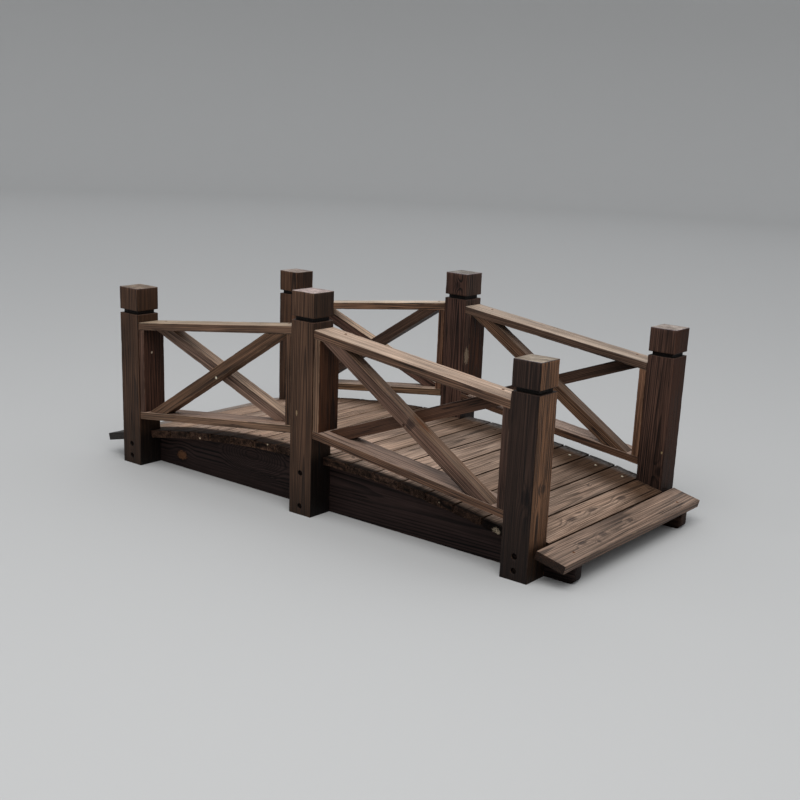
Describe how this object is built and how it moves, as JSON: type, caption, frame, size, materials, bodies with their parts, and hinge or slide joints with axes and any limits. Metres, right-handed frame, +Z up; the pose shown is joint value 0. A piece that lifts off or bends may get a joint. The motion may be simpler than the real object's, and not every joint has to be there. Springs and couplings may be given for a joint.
{
  "type": "garden moon bridge",
  "caption": "Low arched wooden garden footbridge with a board deck, grooved square posts and raked side rails with crossed braces.",
  "frame": {"origin": "on the ground under the middle of the deck, at the centre of the bottom of the bounding box", "axes": "+X along the walkway to the right end, +Y across it to the back rail, +Z up"},
  "size_m": [1.8984, 0.862, 0.695],
  "materials": {
    "post_wood": "satin dark brown stain, straight grain",
    "beam_wood": "matt near-black brown stain",
    "deck_wood": "weathered greyish brown stain, sawn grain",
    "end_board_wood": "weathered brown stain with dark knots",
    "rail_wood": "faded reddish brown stain",
    "brace_wood": "satin mid-brown stain",
    "stile_wood": "satin brown stain",
    "bolt_steel": "dull zinc-plated steel"
  },
  "bodies": {
    "root": {"back_beam": "beam_wood", "back_left_bottom_rail": "rail_wood", "back_left_inward_brace": "brace_wood", "back_left_outward_brace": "brace_wood", "back_left_post": "post_wood", "back_left_top_rail": "rail_wood", "back_mid_post": "post_wood", "back_right_bottom_rail": "rail_wood", "back_right_inward_brace": "brace_wood", "back_right_outward_brace": "brace_wood", "back_right_post": "post_wood", "back_right_top_rail": "rail_wood", "back_stiles": "stile_wood", "deck_board_01": "deck_wood", "deck_board_02": "deck_wood", "deck_board_03": "deck_wood", "deck_board_04": "deck_wood", "deck_board_05": "deck_wood", "deck_board_06": "deck_wood", "deck_board_07": "deck_wood", "deck_board_08": "deck_wood", "deck_board_09": "deck_wood", "deck_board_10": "deck_wood", "deck_board_11": "deck_wood", "deck_board_12": "deck_wood", "deck_board_13": "deck_wood", "deck_board_14": "deck_wood", "deck_board_15": "deck_wood", "deck_board_16": "deck_wood", "deck_board_17": "deck_wood", "front_beam": "beam_wood", "front_left_bottom_rail": "rail_wood", "front_left_inward_brace": "brace_wood", "front_left_outward_brace": "brace_wood", "front_left_post": "post_wood", "front_left_top_rail": "rail_wood", "front_mid_post": "post_wood", "front_right_bottom_rail": "rail_wood", "front_right_inward_brace": "brace_wood", "front_right_outward_brace": "brace_wood", "front_right_post": "post_wood", "front_right_top_rail": "rail_wood", "front_stiles": "stile_wood", "left_end_board": "end_board_wood", "right_end_board": "end_board_wood"}
  },
  "joints": []
}
